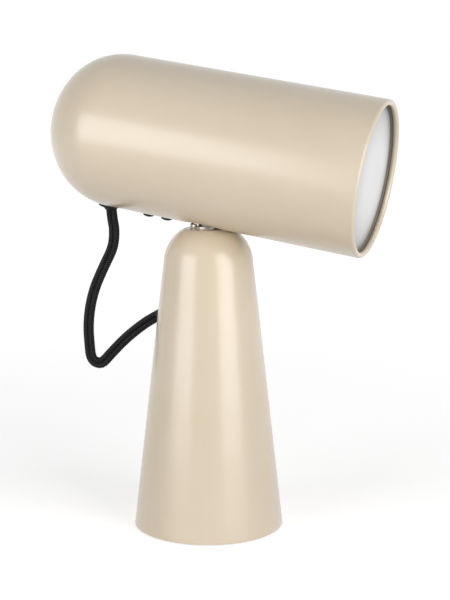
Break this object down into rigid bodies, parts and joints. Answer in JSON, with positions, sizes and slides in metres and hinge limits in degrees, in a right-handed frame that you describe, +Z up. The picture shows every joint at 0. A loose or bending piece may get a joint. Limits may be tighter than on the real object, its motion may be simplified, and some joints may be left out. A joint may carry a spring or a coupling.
{
  "type": "tabletop spotlight lamp",
  "caption": "Tabletop spotlight lamp: tapering round base, swivel and tilt knuckle on its flat top, drum head with domed back and opal front, flat braided cord between them.",
  "frame": {"origin": "on the table under the centre of the round base, on the foot pad's underside", "axes": "+Z up along the base's axis, +X the way the lamp shines at rest, so the cord hangs at -X and the XZ plane is the plane of symmetry"},
  "size_m": [0.2723, 0.121, 0.376],
  "materials": {
    "beige_paint": "satin powder coat",
    "polished_steel": "polished",
    "zinc_steel": "zinc plated",
    "dark_steel": "dark phosphate",
    "black_screws": "black oxide",
    "cast_iron": "as cast",
    "foot_rubber": "matte",
    "gasket_rubber": "matte",
    "black_plastic": "fine texture",
    "white_plastic": "natural",
    "opal_plastic": "opal satin",
    "opal_glass": "opal",
    "bulb_metal": "pressed",
    "brass": "plain",
    "lead_sheath": "pvc sheath",
    "black_braid": "braided textile"
  },
  "bodies": {
    "base": {"base_shell": "beige_paint", "foot_pad": "foot_rubber", "base_plate": "zinc_steel", "base_weight": "cast_iron", "wall_tabs": "zinc_steel", "base_screws": "zinc_steel", "terminal_block": "white_plastic", "terminal_screw": "brass", "slide_washer": "white_plastic", "base_gland": "black_plastic", "base_gland_nut": "black_plastic", "mains_gland": "black_plastic", "mains_gland_nut": "black_plastic", "base_lead": "lead_sheath", "cord": "black_braid"},
    "swivel": {"swivel_plate": "polished_steel", "swivel_stud": "zinc_steel", "tilt_pin": "polished_steel", "thrust_washers": "brass", "stud_washer": "zinc_steel", "spring_washer": "zinc_steel", "stud_nuts": "zinc_steel"},
    "head": {"head_shell": "beige_paint", "tilt_bracket": "dark_steel", "bracket_screws": "black_screws", "bracket_nuts": "zinc_steel", "holder_bracket": "zinc_steel", "holder_nipple": "brass", "nipple_nut": "brass", "lampholder_cap": "black_plastic", "lampholder_body": "black_plastic", "bulb_cap": "bulb_metal", "bulb_glass": "opal_glass", "diffuser": "opal_plastic", "diffuser_gasket": "gasket_rubber", "retaining_ring": "dark_steel", "head_gland": "black_plastic", "head_gland_nut": "black_plastic", "head_lead": "lead_sheath"}
  },
  "joints": [
    {"name": "pan", "type": "hinge", "parent": "base", "child": "swivel", "pos_m": [0, 0, 0.2409], "axis": [0, 0, 1], "range_deg": [-40, 40]},
    {"name": "tilt", "type": "hinge", "parent": "swivel", "child": "head", "pos_m": [-0.0086, 0, 0.245], "axis": [0, 1, 0], "range_deg": [-24, 0.8], "deforming": ["cord"]}
  ]
}
